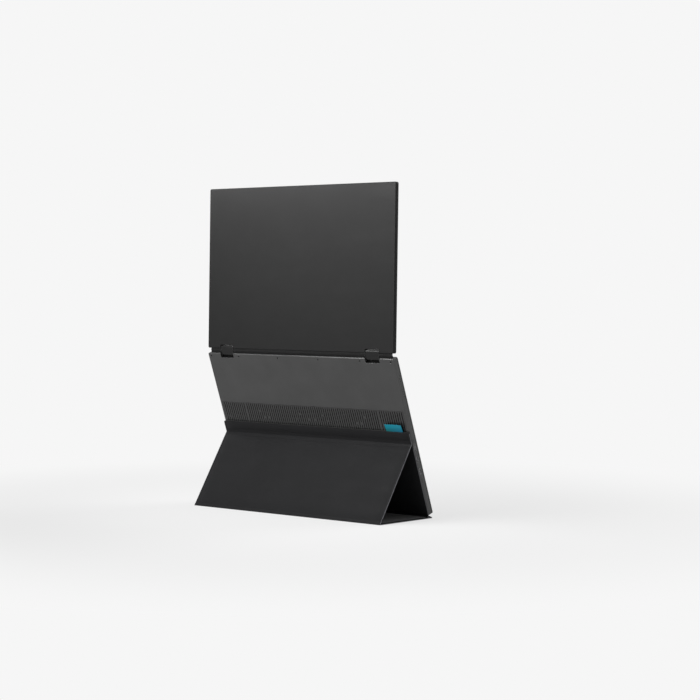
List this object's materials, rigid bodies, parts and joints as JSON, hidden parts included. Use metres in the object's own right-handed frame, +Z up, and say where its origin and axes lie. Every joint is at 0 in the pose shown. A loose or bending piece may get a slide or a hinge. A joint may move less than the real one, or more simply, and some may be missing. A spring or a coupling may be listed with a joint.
{
  "type": "portable monitor with cover",
  "caption": "Foldable portable monitor of two equal hinged panels, slotted vents across the back, standing on its own triangular folding cover with a teal ribbon pull tab.",
  "frame": {"origin": "on the table, under the middle of the stand's overall box in the pose of the picture", "axes": "+X across the panels to the user's right, +Y to the back of the stand, +Z up"},
  "size_m": [0.361, 0.1152, 0.4677],
  "materials": {
    "anodised_lower": "fine satin anodised aluminium",
    "anodised_lid": "fine satin anodised aluminium",
    "grille_dark": "moulded, matt",
    "mesh_black": "matt black dust mesh",
    "frame_black": "fine matt texture",
    "screen_glass": "clear, slight gloss",
    "lcd": "dark display surface",
    "backlight_white": "white reflector",
    "circuit_green": "solder-masked board",
    "aluminium": "bare sheet",
    "black_plastic": "moulded",
    "connector_steel": "plated shell",
    "hinge_steel": "machined and pressed steel",
    "screw_black": "black oxide",
    "hinge_metal": "satin grey coated metal",
    "cover_cloth": "matt grained polyurethane",
    "cover_board": "stiff fibreglass board",
    "cover_lining": "soft brushed microfibre",
    "magnet": "plated",
    "ribbon_teal": "woven ribbon, teal to blue",
    "button_metal": "satin"
  },
  "bodies": {
    "base_unit": {"rear_shell": "anodised_lower", "vent_grille": "grille_dark", "vent_mesh": "mesh_black", "lower_frame": "frame_black", "lower_glass": "screen_glass", "lower_lcd": "lcd", "lower_backlight": "backlight_white", "main_board": "circuit_green", "heat_spreader": "aluminium", "speaker_left": "black_plastic", "speaker_right": "black_plastic", "usb_c_port_upper": "connector_steel", "usb_c_port_lower": "connector_steel", "mini_hdmi_port": "connector_steel", "power_switch": "black_plastic", "menu_switches": "black_plastic", "lower_bracket_left": "hinge_steel", "lower_bracket_right": "hinge_steel", "lower_shaft_left": "hinge_steel", "lower_shaft_right": "hinge_steel", "rear_screws": "screw_black", "steel_strips": "hinge_steel", "lower_gap_rib": "black_plastic", "lower_notch_liners": "black_plastic", "panel_skin": "cover_cloth", "panel_board": "cover_board", "spine_flap": "cover_cloth"},
    "hinge_link": {"hinge_web": "hinge_metal", "hinge_block_left": "hinge_metal", "hinge_block_right": "hinge_metal", "friction_clips_left": "hinge_steel", "friction_clips_right": "hinge_steel"},
    "lid": {"lid_back_cover": "anodised_lid", "lid_frame": "frame_black", "lid_glass": "screen_glass", "lid_lcd": "lcd", "lid_backlight": "backlight_white", "lid_driver_board": "circuit_green", "upper_bracket_left": "hinge_steel", "upper_bracket_right": "hinge_steel", "upper_shaft_left": "hinge_steel", "upper_shaft_right": "hinge_steel", "upper_gap_rib": "black_plastic", "upper_notch_liners": "black_plastic"},
    "foot": {"foot_skin": "cover_cloth", "foot_board": "cover_board", "foot_lining": "cover_lining", "front_crease": "cover_cloth", "rear_crease": "cover_cloth"},
    "leg": {"leg_skin": "cover_cloth", "leg_board": "cover_board", "leg_lining": "cover_lining", "ridge_crease": "cover_cloth"},
    "strip": {"strip_skin": "cover_cloth", "strip_board": "cover_board", "strip_lining": "cover_lining", "strip_magnets": "magnet", "pull_tab": "ribbon_teal"},
    "power_button": {"power_button": "button_metal"},
    "menu_rocker": {"menu_rocker": "button_metal"}
  },
  "joints": [
    {"name": "base_hinge", "type": "hinge", "parent": "base_unit", "child": "hinge_link", "pos_m": [0, 0.02503, 0.22512], "axis": [-1, 0, 0], "range_deg": [-79.7, 75]},
    {"name": "lid_hinge", "type": "hinge", "parent": "hinge_link", "child": "lid", "pos_m": [0, 0.02654, 0.23435], "axis": [-1, 0, 0], "range_deg": [-79.7, 75]},
    {"name": "front_fold", "type": "hinge", "parent": "base_unit", "child": "foot", "pos_m": [0, -0.05398, 0.0009], "axis": [-1, 0, 0], "range_deg": [0, 180]},
    {"name": "rear_fold", "type": "hinge", "parent": "foot", "child": "leg", "pos_m": [0, 0.05722, 0.0004], "axis": [-1, 0, 0], "range_deg": [0, 122.48]},
    {"name": "ridge_fold", "type": "hinge", "parent": "leg", "child": "strip", "pos_m": [0, -0.01, 0.10602], "axis": [1, 0, 0], "range_deg": [0, 52.08]},
    {"name": "power_press", "type": "slide", "parent": "base_unit", "child": "power_button", "axis": [1, 0, 0], "range_m": [0, 0.00035], "stiffness_N_per_m": 300, "springref_m": -0.002},
    {"name": "menu_rock", "type": "hinge", "parent": "base_unit", "child": "menu_rocker", "pos_m": [-0.1781, -0.03396, 0.05426], "axis": [0, 0.9421, -0.3355], "range_deg": [-2.5, 2.5], "stiffness_Nm_per_rad": 0.02}
  ],
  "couplings": [
    {"joint": "ridge_fold", "follows": "rear_fold", "ratio": 0.4251}
  ]
}
